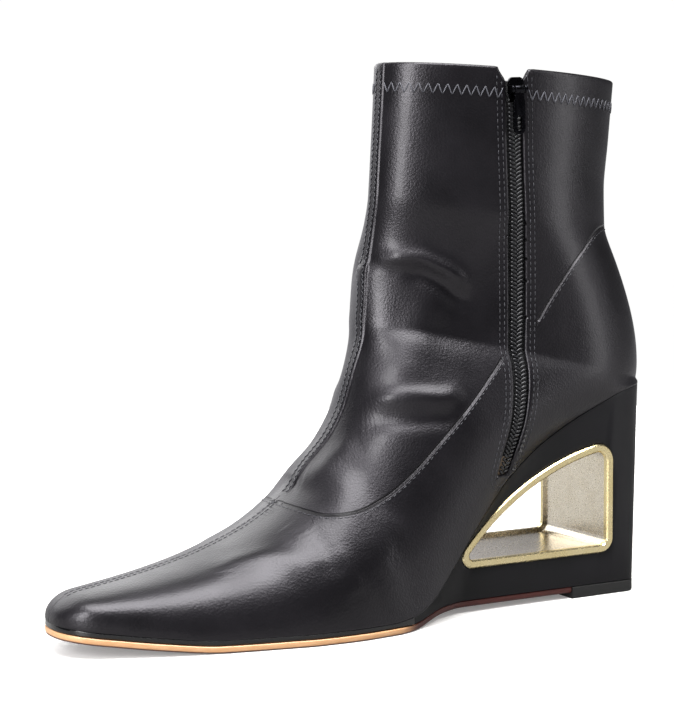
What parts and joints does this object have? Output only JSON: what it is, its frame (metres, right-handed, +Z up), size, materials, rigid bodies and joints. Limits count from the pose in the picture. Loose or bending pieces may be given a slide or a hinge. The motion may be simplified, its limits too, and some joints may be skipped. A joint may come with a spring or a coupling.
{
  "type": "wedge ankle boot",
  "caption": "Ankle boot for the right foot with a snug shaft, an inner side zip, a pointed-round toe and a covered wedge heel with a gold-framed window through it.",
  "frame": {"origin": "on the floor, under the middle of the heel's top piece", "axes": "+X points to the toe, +Y to the inner (medial) side of the foot, +Z up out of the collar"},
  "size_m": [0.242, 0.0793, 0.198],
  "materials": {
    "upper_leather": "satin black stretch faux leather with a fine grain",
    "insole_board": "matt sock lining",
    "wedge_cover": "smooth matt black cover",
    "gold_frame": "polished pale gold plating",
    "black_rand": "glossy black edge",
    "outsole_rubber": "satin tan edge at the forefoot, dark brown at the waist and underneath",
    "top_piece_rubber": "matt black rubber",
    "zip_tape_fabric": "black woven tape",
    "zip_coil_plastic": "black moulded coil",
    "zip_metal": "glossy black enamel on die-cast metal"
  },
  "bodies": {
    "boot": {"upper": "upper_leather", "insole": "insole_board", "wedge": "wedge_cover", "window_frame": "gold_frame", "rand": "black_rand", "outsole": "outsole_rubber", "heel_top_piece": "top_piece_rubber", "zip_tape": "zip_tape_fabric", "zip_coil": "zip_coil_plastic", "zip_slider": "zip_metal"},
    "pull": {"zip_pull": "zip_metal"}
  },
  "joints": [
    {"name": "zip_pull_hinge", "type": "hinge", "parent": "boot", "child": "pull", "pos_m": [0.04597, 0.02823, 0.18893], "axis": [0.9945, -0.098, -0.0362], "range_deg": [0, 150]}
  ]
}
